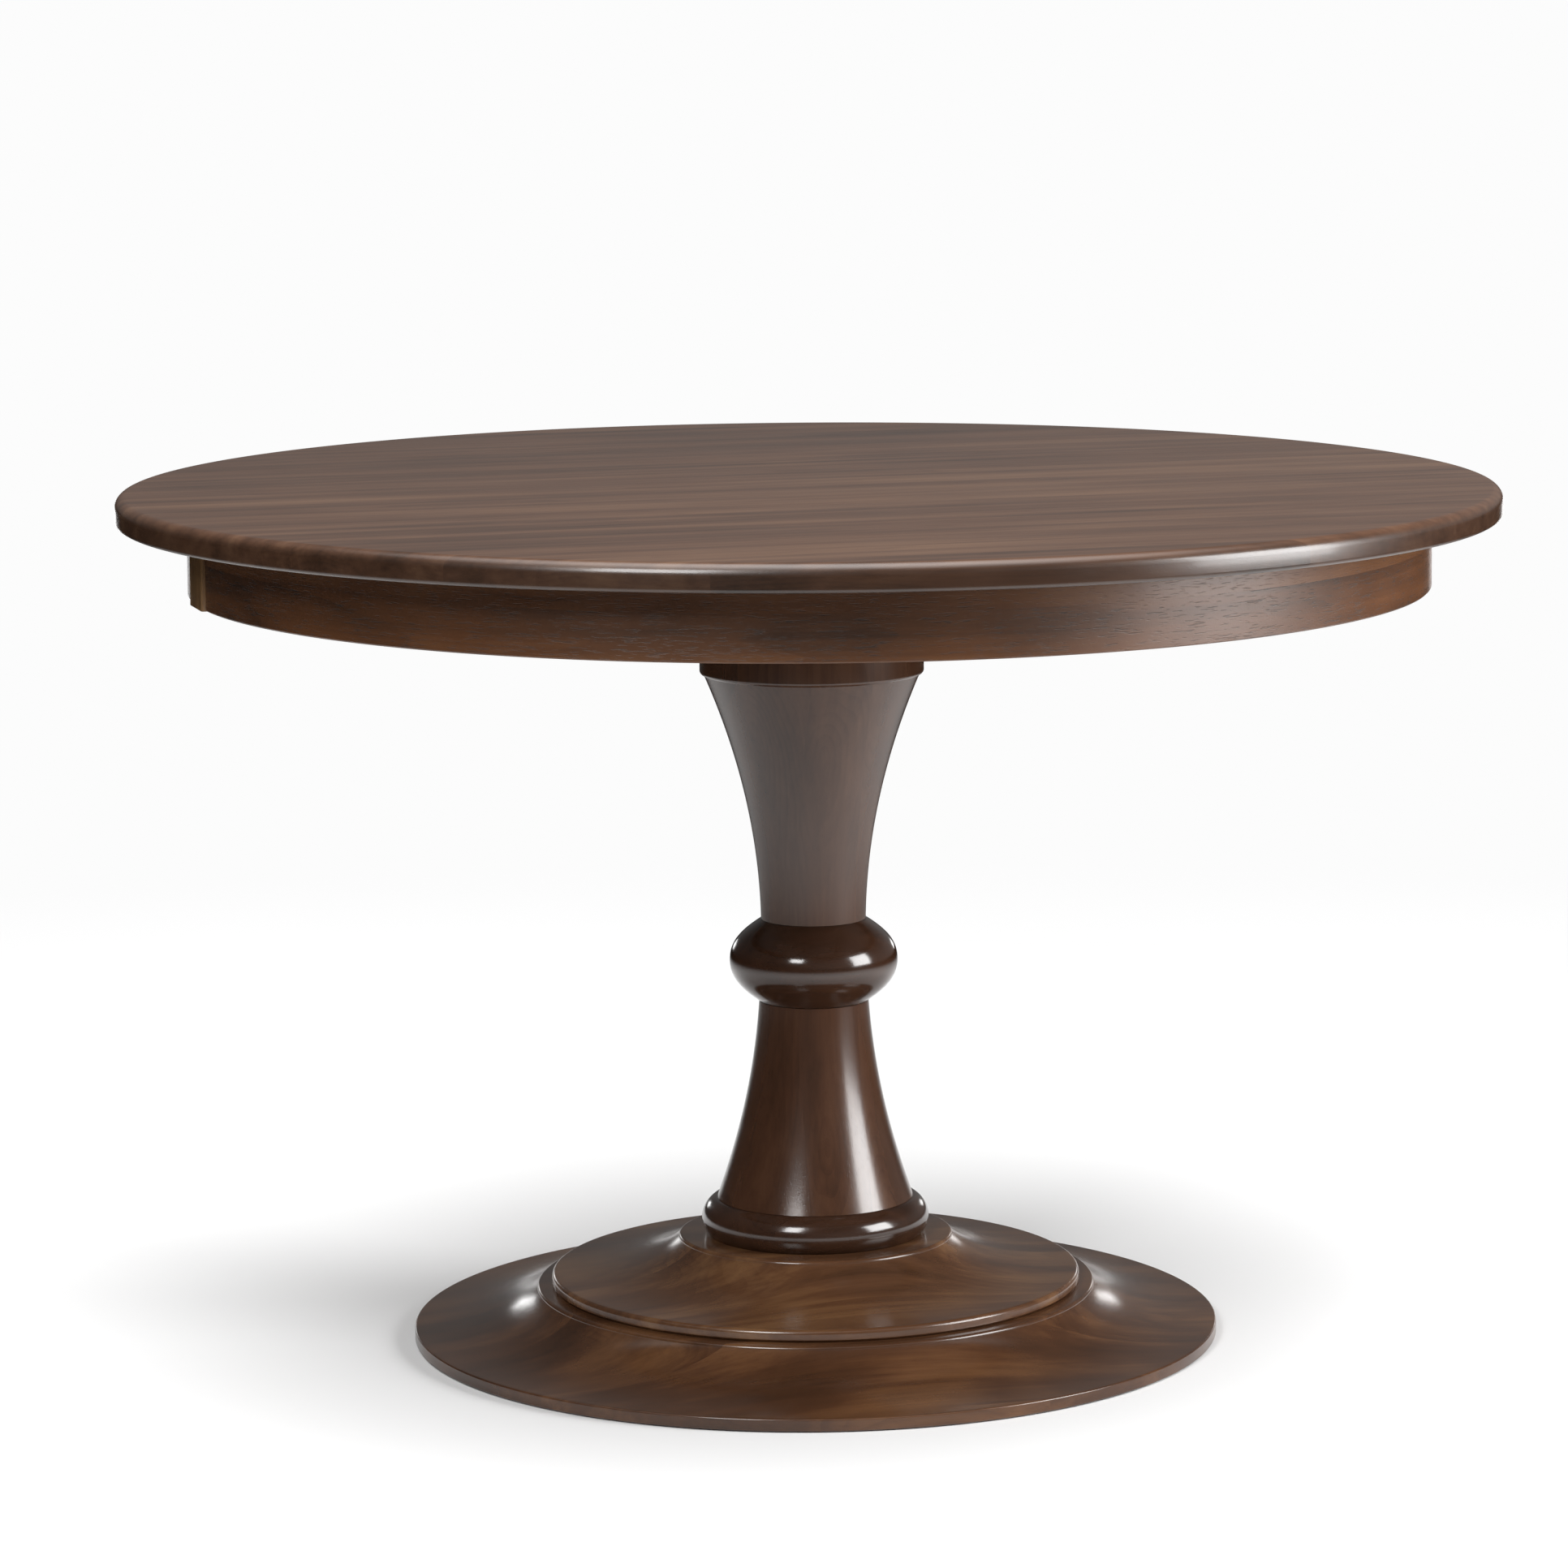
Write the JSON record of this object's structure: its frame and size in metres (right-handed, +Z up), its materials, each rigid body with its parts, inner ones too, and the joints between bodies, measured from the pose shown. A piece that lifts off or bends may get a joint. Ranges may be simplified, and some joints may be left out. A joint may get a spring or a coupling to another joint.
{
  "type": "tilt top table",
  "caption": "Round tilt top pedestal table in dark walnut, on a turned column and a stepped round base, hinged to swing upright for storage.",
  "frame": {"origin": "on the floor, under the middle of the base", "axes": "+Z up, X along the hinge axis and the grain of the top, +Y towards the side that swings up"},
  "size_m": [1.2192, 1.2192, 0.762],
  "materials": {
    "walnut_top": "satin",
    "walnut_apron": "satin",
    "walnut_turned": "satin",
    "walnut_base": "satin",
    "stained_frame": "matte",
    "zinc_steel": "satin",
    "brass": "satin",
    "nylon": "matte"
  },
  "bodies": {
    "pedestal": {"base_lower_tier": "walnut_base", "base_upper_tier": "walnut_base", "base_collar": "walnut_turned", "column_shaft": "walnut_turned", "column_knob": "walnut_turned", "column_vase": "walnut_turned", "tilt_block": "stained_frame", "tie_rod": "zinc_steel", "tie_rod_nut_top": "zinc_steel", "tie_rod_nut_bottom": "zinc_steel", "tie_rod_washer_top": "zinc_steel", "tie_rod_washer_bottom": "zinc_steel", "pivot_pin_left": "zinc_steel", "pivot_pin_right": "zinc_steel", "keeper_plate": "brass", "glide_1": "nylon", "glide_2": "nylon", "glide_3": "nylon", "glide_4": "nylon", "glide_5": "nylon", "glide_6": "nylon", "block_screw_1": "zinc_steel", "block_screw_2": "zinc_steel", "block_screw_3": "zinc_steel", "block_screw_4": "zinc_steel", "tier_screw_1": "zinc_steel", "tier_screw_2": "zinc_steel", "tier_screw_3": "zinc_steel", "tier_screw_4": "zinc_steel"},
    "top": {"tabletop": "walnut_top", "apron_front": "walnut_apron", "apron_rear": "walnut_apron", "apron_joint_block_left": "walnut_apron", "apron_joint_block_right": "walnut_apron", "bearer_left": "stained_frame", "bearer_right": "stained_frame", "pivot_bush_left": "brass", "pivot_bush_right": "brass", "catch_plate": "brass", "catch_guide_front": "brass", "catch_guide_rear": "brass", "glue_block_1": "stained_frame", "glue_block_2": "stained_frame", "glue_block_3": "stained_frame", "glue_block_4": "stained_frame", "glue_block_5": "stained_frame", "glue_block_6": "stained_frame", "glue_block_7": "stained_frame", "glue_block_8": "stained_frame", "bearer_screw_1": "zinc_steel", "bearer_screw_2": "zinc_steel", "bearer_screw_3": "zinc_steel", "bearer_screw_4": "zinc_steel", "bearer_screw_5": "zinc_steel", "bearer_screw_6": "zinc_steel", "bearer_screw_7": "zinc_steel", "bearer_screw_8": "zinc_steel"},
    "catch_bolt": {"catch_rod": "brass", "catch_knob": "brass"}
  },
  "joints": [
    {"name": "tilt", "type": "hinge", "parent": "pedestal", "child": "top", "pos_m": [0, -0.098, 0.708], "axis": [1, 0, 0], "range_deg": [0, 90]},
    {"name": "catch_slide", "type": "slide", "parent": "top", "child": "catch_bolt", "axis": [0, -1, 0], "range_m": [0, 0.018]}
  ]
}
